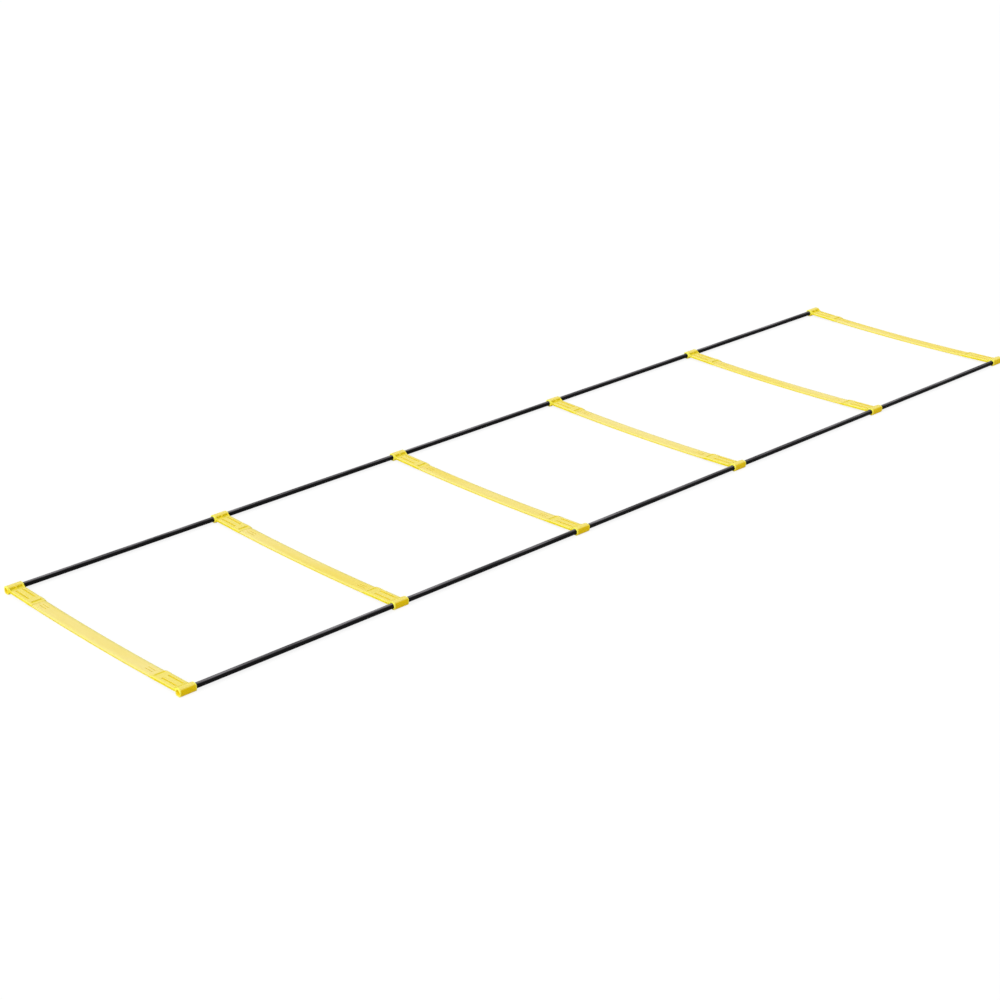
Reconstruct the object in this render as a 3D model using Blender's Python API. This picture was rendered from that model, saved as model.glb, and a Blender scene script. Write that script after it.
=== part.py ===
"""Agility ladder: six rungs, each a flexible strap between two end clips, on ten plug-in side rods.

Metres, +Z up. The ladder lies along X on the plane Z = 0, with its middle over the origin, and the
left rail is on the +Y side.
"""

import math

import bmesh
import bpy
from mathutils import Matrix, Vector

# Layout of the ladder
RUNG_COUNT = 6
RUNG_PITCH = 0.420
RAIL_SPACING = 0.500
RUNG_SAG = 0.0047
FIT_GAP = 0.0003
CUT_OVERRUN = 0.002
MERGE_DISTANCE = 0.000003

# Side rod
ROD_DIAMETER = 0.0092
ROD_END_CHAMFER = 0.0008
ROD_SIDES = 20

# Socket block of an end clip
BLOCK_LENGTH = 0.031
BLOCK_WIDTH = 0.0135
BLOCK_HEIGHT = 0.014
BLOCK_EDGE_RADIUS = 0.0045
BLOCK_END_CHAMFER = 0.0010
BLOCK_CORNER_STEPS = 5
SOCKET_STOP_WALL = 0.0024
SOCKET_MOUTH_CHAMFER = 0.0004
SOCKET_SIDES = 24

# Tongue of an end clip, measured along it from the axis of the rods
TONGUE_REACH = 0.0775
TONGUE_WIDTH = 0.0284
TONGUE_THICKNESS = 0.0044
TONGUE_DROP = 0.0018
TONGUE_BEVEL_WIDTH = 0.0028
TONGUE_BEVEL_DEPTH = 0.0010
TONGUE_FOOT_CHAMFER = 0.0005
COLLAR_RAMP_START = 0.0560
COLLAR_START = 0.0640
COLLAR_END = 0.0732
COLLAR_WIDTH = 0.0296
COLLAR_THICKNESS = 0.0049
LIP_WIDTH = 0.0288
LIP_THICKNESS = 0.0040
POCKET_START = 0.0155
POCKET_FLOOR = 0.0008
POCKET_SIDE_WALL = 0.0022
SLOT_START = 0.0165
SLOT_LENGTH = 0.0390
SLOT_WIDTH = 0.0030
SLOT_OFFSET = 0.0060
CROSS_SLOT_START = 0.0686
CROSS_SLOT_LENGTH = 0.0044
CROSS_SLOT_WIDTH = 0.0200

# Gussets between the socket block and the tongue
GUSSET_REACH = 0.0165
GUSSET_EDGE_THICKNESS = 0.0015
GUSSET_MIDDLE_THICKNESS = 0.0022

# Rung strap
STRAP_WIDTH = 0.0280
STRAP_THICKNESS = 0.0030
STRAP_BEVEL_WIDTH = 0.0036
STRAP_BEVEL_DEPTH = 0.0012
STRAP_FOOT_CHAMFER = 0.0006
STRAP_STEPS = 8
TENON_THICKNESS = 0.0013
RIB_RISE = 0.0007
MARK_START = 0.0080
MARK_LENGTH = 0.0195
MARK_WIDTH = 0.0012
MARK_DEPTH = 0.0005
MARK_OFFSET = 0.0028

# Sizes that follow
AXIS_HEIGHT = BLOCK_HEIGHT / 2
SOCKET_RADIUS = ROD_DIAMETER / 2 + FIT_GAP
ROD_LENGTH = RUNG_PITCH - SOCKET_STOP_WALL - 2 * FIT_GAP
BLOCK_INNER_FACE = BLOCK_WIDTH / 2
BLOCK_WALL = BLOCK_INNER_FACE - SOCKET_RADIUS
TONGUE_ROOT = BLOCK_INNER_FACE - BLOCK_WALL / 2
DROOP_SLOPE = 2 * RUNG_SAG / (TONGUE_REACH + RAIL_SPACING / 2)
DROOP_ANGLE = math.atan(DROOP_SLOPE)
POCKET_WIDTH = TONGUE_WIDTH - 2 * POCKET_SIDE_WALL
POCKET_HEIGHT = TENON_THICKNESS + 2 * FIT_GAP
TENON_WIDTH = POCKET_WIDTH - 2 * FIT_GAP
TENON_START = POCKET_START + FIT_GAP
TENON_LIFT = POCKET_FLOOR + FIT_GAP
STRAP_START = TONGUE_REACH + FIT_GAP

# Finishes
CLIP_YELLOW = (0.86, 0.69, 0.03, 1.0)
CLIP_ROUGHNESS = 0.42
STRAP_YELLOW = (0.87, 0.64, 0.10, 1.0)
STRAP_ROUGHNESS = 0.55
ROD_BLACK = (0.010, 0.010, 0.011, 1.0)
ROD_ROUGHNESS = 0.38
SHARP_ANGLE = math.radians(32)


def clear_scene():
    """Remove every object of the opened scene."""
    for old in list(bpy.data.objects):
        bpy.data.objects.remove(old, do_unlink=True)


def plastic(name, colour, roughness):
    """A Principled material of one colour."""
    material = bpy.data.materials.new(name)
    material.use_nodes = True
    shader = material.node_tree.nodes["Principled BSDF"]
    shader.inputs["Base Color"].default_value = colour
    shader.inputs["Roughness"].default_value = roughness
    shader.inputs["Metallic"].default_value = 0.0
    material.diffuse_color = colour
    return material


def clip_material():
    return plastic("clip_plastic", CLIP_YELLOW, CLIP_ROUGHNESS)


def strap_material():
    return plastic("strap_plastic", STRAP_YELLOW, STRAP_ROUGHNESS)


def rod_material():
    return plastic("rod_plastic", ROD_BLACK, ROD_ROUGHNESS)


def lofted(sections):
    """A closed solid through a row of sections, each a ring of the same number of points."""
    shape = bmesh.new()
    rings = [[shape.verts.new(point) for point in section] for section in sections]
    for before, after in zip(rings, rings[1:]):
        for here, corner in enumerate(before):
            shape.faces.new((before[here - 1], corner, after[here], after[here - 1]))
    shape.faces.new(rings[0])
    shape.faces.new(rings[-1])
    bmesh.ops.recalc_face_normals(shape, faces=list(shape.faces))
    return shape


def swept(outline, stations):
    """A closed solid: an outline in the XZ plane, carried from station to station."""
    return lofted([[station @ Vector((x, 0.0, z)) for x, z in outline] for station in stations])


def turned(profile, sides):
    """A closed solid of revolution about X, from (x, radius) points that start and end on the axis."""
    shape = bmesh.new()
    rail = [shape.verts.new((x, 0.0, radius)) for x, radius in profile]
    edges = [shape.edges.new(pair) for pair in zip(rail, rail[1:])]
    bmesh.ops.spin(
        shape,
        geom=rail + edges,
        axis=(1.0, 0.0, 0.0),
        cent=(0.0, 0.0, 0.0),
        angle=math.tau,
        steps=sides,
        use_merge=True,
    )
    bmesh.ops.remove_doubles(shape, verts=list(shape.verts), dist=MERGE_DISTANCE)
    bmesh.ops.recalc_face_normals(shape, faces=list(shape.faces))
    return shape


def bar(low, high, frame):
    """A rectangular bar between two corners, given in the frame's own axes."""
    low = Vector(low)
    high = Vector(high)
    shape = bmesh.new()
    bmesh.ops.create_cube(shape, size=1.0)
    bmesh.ops.scale(shape, vec=high - low, verts=list(shape.verts))
    bmesh.ops.translate(shape, vec=(low + high) / 2, verts=list(shape.verts))
    bmesh.ops.transform(shape, matrix=frame, verts=list(shape.verts))
    return shape


def rounded_outline(width, height, radius, steps):
    """The corners of a rounded rectangle that is centred on zero."""
    points = []
    for corner in range(4):
        turn = corner * math.pi / 2
        side = 1 if corner in (0, 3) else -1
        rise = 1 if corner in (0, 1) else -1
        centre_x = side * (width / 2 - radius)
        centre_z = rise * (height / 2 - radius)
        for step in range(steps + 1):
            angle = turn + step * math.pi / 2 / steps
            points.append((centre_x + radius * math.cos(angle), centre_z + radius * math.sin(angle)))
    return points


def strip_outline(width, thickness, bevel_width, bevel_depth, foot_chamfer):
    """The section of a flat strip that stands on zero, with wide bevels along its top edges."""
    half = width / 2
    return [
        (-half + foot_chamfer, 0.0),
        (half - foot_chamfer, 0.0),
        (half, foot_chamfer),
        (half, thickness - bevel_depth),
        (half - bevel_width, thickness),
        (-half + bevel_width, thickness),
        (-half, thickness - bevel_depth),
        (-half, foot_chamfer),
    ]


def tongue_frame():
    """The clip's drooping axes: Y along the tongue from the rod's axis, Z = 0 on its underside."""
    droop = Matrix.Rotation(-DROOP_ANGLE, 4, "X")
    return droop @ Matrix.Translation((0.0, 0.0, -TONGUE_DROP))


def shrunk(width, height, inset):
    """The scaling that brings a section of this width and height in by an inset all round."""
    return Matrix.Diagonal((1 - 2 * inset / width, 1.0, 1 - 2 * inset / height, 1.0))


def socket_block():
    """The block along the rail: a rounded section with chamfered ends."""
    along_rail = Matrix.Rotation(-math.pi / 2, 4, "Z")
    end = shrunk(BLOCK_WIDTH, BLOCK_HEIGHT, BLOCK_END_CHAMFER)
    half = BLOCK_LENGTH / 2
    stations = [
        along_rail @ Matrix.Translation((0.0, -half, 0.0)) @ end,
        along_rail @ Matrix.Translation((0.0, -half + BLOCK_END_CHAMFER, 0.0)),
        along_rail @ Matrix.Translation((0.0, half - BLOCK_END_CHAMFER, 0.0)),
        along_rail @ Matrix.Translation((0.0, half, 0.0)) @ end,
    ]
    outline = rounded_outline(BLOCK_WIDTH, BLOCK_HEIGHT, BLOCK_EDGE_RADIUS, BLOCK_CORNER_STEPS)
    return swept(outline, stations)


def clip_tongue():
    """The flat tongue, which swells to a collar round the strap's end and thins to its lip."""
    sections = []
    for distance, width, thickness in (
        (TONGUE_ROOT, TONGUE_WIDTH, TONGUE_THICKNESS),
        (COLLAR_RAMP_START, TONGUE_WIDTH, TONGUE_THICKNESS),
        (COLLAR_START, COLLAR_WIDTH, COLLAR_THICKNESS),
        (COLLAR_END, COLLAR_WIDTH, COLLAR_THICKNESS),
        (TONGUE_REACH, LIP_WIDTH, LIP_THICKNESS),
    ):
        outline = strip_outline(
            width, thickness, TONGUE_BEVEL_WIDTH, TONGUE_BEVEL_DEPTH, TONGUE_FOOT_CHAMFER
        )
        sections.append([tongue_frame() @ Vector((x, distance, z)) for x, z in outline])
    return lofted(sections)


def gusset(offset, thickness):
    """One sloping web from the shoulder of the socket block down to the tongue."""
    shoulder = BLOCK_HEIGHT / 2 - BLOCK_EDGE_RADIUS * (1 - math.sqrt(0.5))
    root = tongue_frame() @ Vector((0.0, TONGUE_ROOT, TONGUE_THICKNESS / 2))
    toe = tongue_frame() @ Vector((0.0, GUSSET_REACH, TONGUE_THICKNESS / 2))
    outline = [(root.y, root.z), (toe.y, toe.z), (root.y, shoulder)]
    along_rail = Matrix.Rotation(math.pi / 2, 4, "Z")
    stations = [
        Matrix.Translation((offset + side * thickness / 2, 0.0, 0.0)) @ along_rail
        for side in (1, -1)
    ]
    return swept(outline, stations)


def socket_cutter(side):
    """A blind socket on one end of the block, flared at its mouth."""
    stop = SOCKET_STOP_WALL / 2
    mouth = BLOCK_LENGTH / 2
    flare = SOCKET_RADIUS + SOCKET_MOUTH_CHAMFER
    profile = [
        (side * stop, 0.0),
        (side * stop, SOCKET_RADIUS),
        (side * (mouth - SOCKET_MOUTH_CHAMFER), SOCKET_RADIUS),
        (side * mouth, flare),
        (side * (mouth + CUT_OVERRUN), flare),
        (side * (mouth + CUT_OVERRUN), 0.0),
    ]
    return turned(profile, SOCKET_SIDES)


def pocket_cutter():
    """The flat pocket that takes the tenon of the strap."""
    low = (-POCKET_WIDTH / 2, POCKET_START, POCKET_FLOOR)
    high = (POCKET_WIDTH / 2, TONGUE_REACH + CUT_OVERRUN, POCKET_FLOOR + POCKET_HEIGHT)
    return bar(low, high, tongue_frame())


def roof_slots():
    """The plan of each slot in the pocket's roof, as a low and a high corner: two long, one across."""
    end = SLOT_START + SLOT_LENGTH
    reach = CROSS_SLOT_WIDTH / 2
    plans = [((-reach, CROSS_SLOT_START), (reach, CROSS_SLOT_START + CROSS_SLOT_LENGTH))]
    for centre in (-SLOT_OFFSET, SLOT_OFFSET):
        plans.append(((centre - SLOT_WIDTH / 2, SLOT_START), (centre + SLOT_WIDTH / 2, end)))
    return plans


def slot_cutter(plan):
    """A slot through the roof of the pocket."""
    (left, start), (right, end) = plan
    low = (left, start, POCKET_FLOOR + POCKET_HEIGHT / 2)
    high = (right, end, COLLAR_THICKNESS + CUT_OVERRUN)
    return bar(low, high, tongue_frame())


def tenon_rib(plan, frame):
    """A rib on the tenon, which catches in the slot of the same plan."""
    (left, start), (right, end) = plan
    top = TENON_LIFT + TENON_THICKNESS
    low = (left + FIT_GAP, start + FIT_GAP, top - TENON_THICKNESS / 2)
    high = (right - FIT_GAP, end - FIT_GAP, top + RIB_RISE)
    return bar(low, high, frame)


def mark_cutter(side, turn):
    """A short groove in the top of the strap, near one of its ends."""
    frame = turn @ strap_station(STRAP_START + MARK_START + MARK_LENGTH / 2)
    centre = side * MARK_OFFSET
    low = (centre - MARK_WIDTH / 2, -MARK_LENGTH / 2, STRAP_THICKNESS - MARK_DEPTH)
    high = (centre + MARK_WIDTH / 2, MARK_LENGTH / 2, STRAP_THICKNESS + CUT_OVERRUN)
    return bar(low, high, frame)


def clip_on_rung():
    """The place of the right clip on its rung, whose own zero is midway between the rails."""
    return Matrix.Translation((0.0, -RAIL_SPACING / 2, 0.0))


def strap_station(distance):
    """The place of the strap's section at a distance from the rod's axis, from its end to its middle."""
    lip = clip_on_rung() @ tongue_frame() @ Matrix.Translation((0.0, STRAP_START, 0.0))
    if distance <= STRAP_START:
        return lip @ Matrix.Translation((0.0, distance - STRAP_START, 0.0))
    free_length = -lip.translation.y
    run = distance - STRAP_START
    share = run / free_length
    fall = DROOP_SLOPE * run * (1 - share / 2)
    place = Vector((0.0, lip.translation.y + run, lip.translation.z - fall))
    lean = Matrix.Rotation(-math.atan(DROOP_SLOPE * (1 - share)), 4, "X")
    return Matrix.Translation(place) @ lean


def strap_stations():
    """Every station of the strap: tenon, shoulder, sagging span, shoulder, tenon."""
    across = Matrix.Diagonal((1.0, -1.0, 1.0, 1.0))
    slim = Matrix.Translation((0.0, 0.0, TENON_LIFT)) @ Matrix.Diagonal(
        (TENON_WIDTH / STRAP_WIDTH, 1.0, TENON_THICKNESS / STRAP_THICKNESS, 1.0)
    )
    free_length = -strap_station(STRAP_START).translation.y
    near = [strap_station(TENON_START) @ slim, strap_station(STRAP_START) @ slim]
    near += [strap_station(STRAP_START + free_length * n / STRAP_STEPS) for n in range(STRAP_STEPS)]
    middle = strap_station(STRAP_START + free_length)
    far = [across @ station @ across for station in reversed(near)]
    return near + [middle] + far


def combined(name, base, changes):
    """The mesh of a base shape after each change, an operation and the shape that makes it."""
    body = helper(name, base)
    helpers = [body]
    for operation, shape in changes:
        tool = helper(f"{name}_tool", shape)
        step = body.modifiers.new(operation.title(), "BOOLEAN")
        step.operation = operation
        step.object = tool
        helpers.append(tool)
    bpy.context.view_layer.update()
    graph = bpy.context.evaluated_depsgraph_get()
    mesh = bpy.data.meshes.new_from_object(body.evaluated_get(graph))
    mesh.name = name
    for used in helpers:
        bpy.data.objects.remove(used, do_unlink=True)
    return mesh


def helper(name, shape):
    """An object in the scene that holds a shape for a Boolean."""
    mesh = bpy.data.meshes.new(name)
    shape.to_mesh(mesh)
    shape.free()
    item = bpy.data.objects.new(name, mesh)
    bpy.context.scene.collection.objects.link(item)
    return item


def finished(mesh, material):
    """Give a mesh its material and smooth shading that keeps its edges."""
    mesh.materials.clear()
    mesh.materials.append(material)
    mesh.shade_smooth()
    mesh.set_sharp_from_angle(angle=SHARP_ANGLE)
    return mesh


def clip_mesh():
    """An end clip with its rod axis on X and its tongue along +Y."""
    edge = TONGUE_WIDTH / 2 - TONGUE_BEVEL_WIDTH / 2
    changes = [
        ("UNION", clip_tongue()),
        ("UNION", gusset(-edge, GUSSET_EDGE_THICKNESS)),
        ("UNION", gusset(0.0, GUSSET_MIDDLE_THICKNESS)),
        ("UNION", gusset(edge, GUSSET_EDGE_THICKNESS)),
        ("DIFFERENCE", socket_cutter(-1)),
        ("DIFFERENCE", socket_cutter(1)),
        ("DIFFERENCE", pocket_cutter()),
    ]
    changes += [("DIFFERENCE", slot_cutter(plan)) for plan in roof_slots()]
    return finished(combined("clip", socket_block(), changes), clip_material())


def strap_mesh():
    """A rung strap along Y, with its middle on the rung's zero."""
    outline = strip_outline(
        STRAP_WIDTH, STRAP_THICKNESS, STRAP_BEVEL_WIDTH, STRAP_BEVEL_DEPTH, STRAP_FOOT_CHAMFER
    )
    changes = []
    for turn in (Matrix.Identity(4), Matrix.Rotation(math.pi, 4, "Z")):
        clip_axes = turn @ clip_on_rung() @ tongue_frame()
        changes += [("UNION", tenon_rib(plan, clip_axes)) for plan in roof_slots()]
        changes += [("DIFFERENCE", mark_cutter(side, turn)) for side in (-1, 1)]
    return finished(combined("strap", swept(outline, strap_stations()), changes), strap_material())


def rod_mesh():
    """A side rod along X, with chamfered ends."""
    half = ROD_LENGTH / 2
    radius = ROD_DIAMETER / 2
    profile = [
        (-half, 0.0),
        (-half, radius - ROD_END_CHAMFER),
        (-half + ROD_END_CHAMFER, radius),
        (half - ROD_END_CHAMFER, radius),
        (half, radius - ROD_END_CHAMFER),
        (half, 0.0),
    ]
    mesh = bpy.data.meshes.new("rod")
    shape = turned(profile, ROD_SIDES)
    shape.to_mesh(mesh)
    shape.free()
    return finished(mesh, rod_material())


def placed(name, mesh, parent, location, turn=0.0):
    """One named piece, with its own place and a mesh that it may share."""
    piece = bpy.data.objects.new(name, mesh)
    bpy.context.scene.collection.objects.link(piece)
    piece.parent = parent
    piece.location = location
    piece.rotation_euler = (0.0, 0.0, turn)
    return piece


def rung_position(number):
    """The place along the ladder of a rung, counted from 1."""
    return (number - (RUNG_COUNT + 1) / 2) * RUNG_PITCH


def build_rungs(clip, strap):
    """Place a left clip, a right clip and a strap on each rung's empty."""
    for number in range(1, RUNG_COUNT + 1):
        rung = placed(f"rung_{number}", None, None, (rung_position(number), 0.0, AXIS_HEIGHT))
        placed(f"left_clip_{number}", clip, rung, (0.0, RAIL_SPACING / 2, 0.0), math.pi)
        placed(f"right_clip_{number}", clip, rung, (0.0, -RAIL_SPACING / 2, 0.0))
        placed(f"strap_{number}", strap, rung, (0.0, 0.0, 0.0))


def build_rods(rod):
    """Place a left rod and a right rod in each bay, midway between its rungs."""
    for number in range(1, RUNG_COUNT):
        middle = (rung_position(number) + rung_position(number + 1)) / 2
        for side, sign in (("left", 1), ("right", -1)):
            location = (middle, sign * RAIL_SPACING / 2, AXIS_HEIGHT)
            placed(f"{side}_rod_{number}", rod, None, location)


def main():
    clear_scene()
    build_rungs(clip_mesh(), strap_mesh())
    build_rods(rod_mesh())


main()
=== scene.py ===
"""The agility ladder dressed for rendering: moulded end clips, rung straps and side rods on the CAD frame.

Metres, in the frame of the CAD: +X runs along the ladder from rung 1, +Y points to the left rail and the
ladder lies on Z = 0.
"""

import logging
import math
from dataclasses import dataclass, field
from enum import Enum
from typing import Any, Callable, Iterable, Sequence

import bmesh
import bpy
from bmesh.types import BMEdge, BMesh, BMVert
from bpy.types import Material, Mesh, Node, NodeSocket, NodeTree, Object
from mathutils import Matrix, Vector


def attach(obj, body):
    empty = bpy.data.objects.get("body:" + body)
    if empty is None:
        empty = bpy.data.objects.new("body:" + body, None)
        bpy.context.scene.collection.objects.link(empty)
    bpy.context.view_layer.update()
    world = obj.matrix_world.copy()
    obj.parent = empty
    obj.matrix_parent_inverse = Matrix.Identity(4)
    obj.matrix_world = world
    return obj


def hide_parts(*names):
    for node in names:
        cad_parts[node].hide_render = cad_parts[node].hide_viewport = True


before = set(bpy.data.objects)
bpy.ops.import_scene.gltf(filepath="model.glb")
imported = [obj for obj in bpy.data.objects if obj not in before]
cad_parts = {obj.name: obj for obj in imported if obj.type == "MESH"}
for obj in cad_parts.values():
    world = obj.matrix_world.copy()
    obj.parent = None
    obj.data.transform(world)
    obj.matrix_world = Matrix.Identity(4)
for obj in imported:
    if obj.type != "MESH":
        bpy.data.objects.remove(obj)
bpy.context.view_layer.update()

log = logging.getLogger("agility_ladder")

Colour = tuple[float, float, float, float]
Point = Sequence[float]

# Vertex marks: painted highlight and wear on edges, and painted shade in hollows and on side walls.
WEAR_AND_HIGHLIGHT_ATTRIBUTE = "wear_and_highlight"
PAINTED_SHADE_ATTRIBUTE = "painted_shade"
WHITE = (1.0, 1.0, 1.0, 1.0)
BLACK = (0.0, 0.0, 0.0, 1.0)
MERGE_DISTANCE = 0.000002
FLAT_ANGLE = math.radians(0.4)
SHARP_ANGLE = math.radians(35.0)
CUT_OVERRUN = 0.002
SOFTENING_STEPS = 2
# The cosine above which a direction counts as lying along an axis.
PARALLEL = 0.999
# The share of a width that a test uses, to stay clear of rounding at its edge.
NEARLY = 0.9


class Side(Enum):
    """The side rail that a piece belongs to, as the CAD names it."""

    LEFT = "left"
    RIGHT = "right"


class Axis(Enum):
    """An axis of the ladder's plane that shapes are sliced across, with its direction."""

    X = (1.0, 0.0, 0.0)
    Y = (0.0, 1.0, 0.0)


@dataclass(frozen=True)
class Layout:
    """Where the pieces of the ladder lie."""

    rung_count: int = 6
    rung_pitch: float = 0.420
    rail_spacing: float = 0.500
    rung_sag: float = 0.0047
    fit_gap: float = 0.0003
    axis_height: float = 0.007

    def rung_x(self, number: int) -> float:
        """The place along the ladder of a rung, counted from 1."""
        return (number - (self.rung_count + 1) / 2) * self.rung_pitch

    def rail_y(self, side: Side) -> float:
        """The place across the ladder of a side rail."""
        return (1 if side is Side.LEFT else -1) * self.rail_spacing / 2


def box_shape(low: Point, high: Point) -> BMesh:
    """A rectangular block between two corners.

    Args:
        low: The lowest corner.
        high: The highest corner.

    Returns:
        The block as a new bmesh.
    """
    shape = bmesh.new()
    bmesh.ops.create_cube(shape, size=1.0)
    bmesh.ops.scale(shape, vec=Vector(high) - Vector(low), verts=shape.verts)
    bmesh.ops.translate(shape, vec=(Vector(low) + Vector(high)) / 2, verts=shape.verts)
    return shape


def swept_shape(corners: Iterable[Point], travel: Point) -> BMesh:
    """The solid that a flat outline leaves behind it in a straight line.

    Args:
        corners: The outline's corners in order.
        travel: How far the outline moves.

    Returns:
        The solid as a new bmesh.
    """
    shape = bmesh.new()
    outline = shape.faces.new([shape.verts.new(corner) for corner in corners])
    grown = bmesh.ops.extrude_face_region(shape, geom=[outline])["geom"]
    moved = [item for item in grown if isinstance(item, BMVert)]
    bmesh.ops.translate(shape, vec=travel, verts=moved)
    bmesh.ops.recalc_face_normals(shape, faces=shape.faces)
    return shape


def bevelled_strip(width: float, thickness: float, bevel: Point, span: Point) -> BMesh:
    """A straight strip along Y that stands on zero, with a wide bevel along each top edge.

    Args:
        width: The strip's width.
        thickness: Its thickness.
        bevel: How far each bevel reaches in, and how far it falls.
        span: Where the strip starts and ends on Y.

    Returns:
        The strip as a new bmesh.
    """
    half, shoulder, crest = width / 2, thickness - bevel[1], width / 2 - bevel[0]
    right = [(half, 0.0), (half, shoulder), (crest, thickness)]
    outline = [(-half, 0.0), *right, (-crest, thickness), (-half, shoulder)]
    return swept_shape([(x, span[0], z) for x, z in outline], (0.0, span[1] - span[0], 0.0))


def spun_shape(profile: Sequence[Point], sides: int) -> BMesh:
    """A closed solid of revolution about X.

    Args:
        profile: Points as (x, radius), which start and end on the axis.
        sides: How many steps the full turn has.

    Returns:
        The solid as a new bmesh.
    """
    shape = bmesh.new()
    rail = [shape.verts.new((x, 0.0, radius)) for x, radius in profile]
    geometry = rail + [shape.edges.new(pair) for pair in zip(rail, rail[1:])]
    origin = (0.0, 0.0, 0.0)
    bmesh.ops.spin(
        shape, geom=geometry, axis=Axis.X.value, cent=origin, angle=math.tau, steps=sides, use_merge=True
    )
    bmesh.ops.remove_doubles(shape, verts=shape.verts, dist=MERGE_DISTANCE)
    bmesh.ops.recalc_face_normals(shape, faces=shape.faces)
    return shape


def slice_across(shape: BMesh, axis: Axis, places: Iterable[float]) -> None:
    """Cut the faces of a shape across an axis, so that it can bend, swell or change its painted highlight,
    wear and painted shade there.

    Args:
        shape: The shape.
        axis: The axis to cut across.
        places: Where to cut it on that axis.
    """
    direction = Vector(axis.value)
    for place in places:
        everything = [*shape.verts, *shape.edges, *shape.faces]
        bmesh.ops.bisect_plane(
            shape, geom=everything, dist=MERGE_DISTANCE, plane_co=place * direction, plane_no=direction
        )


def round_edges(shape: BMesh, edges: Iterable[BMEdge], width: float, steps: int) -> None:
    """Round some edges of a shape.

    Args:
        shape: The shape.
        edges: Its edges to round.
        width: How far the rounding reaches from each edge.
        steps: How many facets it has.
    """
    bmesh.ops.bevel(
        shape,
        geom=list(edges),
        offset=width,
        affect="EDGES",
        segments=steps,
        profile=0.5,
        material=-1,
        clamp_overlap=True,
    )
    shape.normal_update()


def soften(shape: BMesh, width: float) -> None:
    """Merge the facets that a join left flat, then round every edge that is still sharp.

    Args:
        shape: The shape.
        width: How far the rounding reaches from each edge.
    """
    bmesh.ops.remove_doubles(shape, verts=shape.verts, dist=MERGE_DISTANCE)
    bmesh.ops.dissolve_limit(shape, angle_limit=FLAT_ANGLE, verts=shape.verts, edges=shape.edges)
    shape.normal_update()
    sharp = [edge for edge in shape.edges if edge.calc_face_angle(0.0) > SHARP_ANGLE]
    round_edges(shape, sharp, width, SOFTENING_STEPS)


def mark_surface(
    shape: BMesh, wear_and_highlight_share: Callable[[Vector], float], painted_shade: Callable[[Vector], float]
) -> None:
    """Write on each vertex its share of painted highlight and wear, and its share of painted shade.

    Args:
        shape: The finished shape.
        wear_and_highlight_share: How much painted highlight and wear a place gets, from 0 to 1.
        painted_shade: How much painted shade a place gets, most in a hollow, from 0 to 1.
    """
    for name, share in ((WEAR_AND_HIGHLIGHT_ATTRIBUTE, wear_and_highlight_share), (PAINTED_SHADE_ATTRIBUTE, painted_shade)):
        layer = shape.verts.layers.float.new(name)
        for vert in shape.verts:
            vert[layer] = share(vert.co)


def mesh_of(name: str, shape: BMesh) -> Mesh:
    """Turn a shape into a mesh.

    Args:
        name: The mesh's name.
        shape: The shape, which is freed.

    Returns:
        The new mesh.
    """
    mesh = bpy.data.meshes.new(name)
    shape.to_mesh(mesh)
    shape.free()
    return mesh


def in_order(shape: BMesh) -> BMesh:
    """Rebuild a shape with its vertices and faces in the order of their places.

    A join can leave another order in each run, by which the steps after it choose between equal edges.

    Args:
        shape: The shape, which is freed.

    Returns:
        The same shape as a new bmesh.
    """
    old = sorted(shape.verts, key=lambda vert: tuple(vert.co))
    ranks = {vert: rank for rank, vert in enumerate(old)}
    rings = []
    for face in shape.faces:
        ring = [ranks[vert] for vert in face.verts]
        first = ring.index(min(ring))
        rings.append(ring[first:] + ring[:first])
    result = bmesh.new()
    new = [result.verts.new(vert.co) for vert in old]
    for ring in sorted(rings):
        result.faces.new([new[rank] for rank in ring])
    shape.free()
    return result


def finished_mesh(shape: BMesh, material: Material) -> Mesh:
    """A smooth-shaded mesh of a finished shape.

    Args:
        shape: The shape, which is freed.
        material: Its material.

    Returns:
        The new mesh.
    """
    for face in shape.faces:
        face.smooth = True
    mesh = mesh_of("finished", shape)
    mesh.materials.append(material)
    return mesh


def add_object(name: str, data: bpy.types.ID) -> Object:
    """Put an object into the scene.

    Args:
        name: The object's name.
        data: What it holds, such as a mesh or a lamp.

    Returns:
        The new object.
    """
    item = bpy.data.objects.new(name, data)
    bpy.context.scene.collection.objects.link(item)
    return item


def combined(base: BMesh, added: Iterable[BMesh], cut: Iterable[BMesh]) -> BMesh:
    """A shape after others were added to it, and then more were cut from it. All of them are freed.

    Args:
        base: The shape to start from.
        added: The shapes to add.
        cut: The shapes to cut.

    Returns:
        The result as a new bmesh.
    """
    body = add_object("body", mesh_of("body", base))
    helpers = [body]
    for operation, shapes in (("UNION", added), ("DIFFERENCE", cut)):
        for shape in shapes:
            step = body.modifiers.new(operation, "BOOLEAN")
            step.operation, step.solver = operation, "EXACT"
            step.object = add_object("tool", mesh_of("tool", shape))
            helpers.append(step.object)
    bpy.context.view_layer.update()
    evaluated = body.evaluated_get(bpy.context.evaluated_depsgraph_get())
    result = bmesh.new()
    result.from_mesh(evaluated.to_mesh())
    evaluated.to_mesh_clear()
    for used in helpers:
        mesh = used.data
        bpy.data.objects.remove(used, do_unlink=True)
        bpy.data.meshes.remove(mesh)
    return result


def place_piece(name: str, mesh: Mesh, place: Matrix, body: str, node: str) -> None:
    """Put one piece of the ladder into the scene, with its place in its own mesh.

    Args:
        name: The piece's name.
        mesh: The mesh to copy.
        place: Where the copy goes.
        body: The CAD body that it moves with.
        node: The CAD node that it stands for.
    """
    own = mesh.copy()
    own.name = name
    own.transform(place)
    piece = add_object(name, own)
    evening = piece.modifiers.new("Even shading", "WEIGHTED_NORMAL")
    evening.keep_sharp = False
    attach(piece, body)
    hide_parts(node)
    log.info("%s: %d faces, rides on %s", name, len(own.polygons), body)


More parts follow.
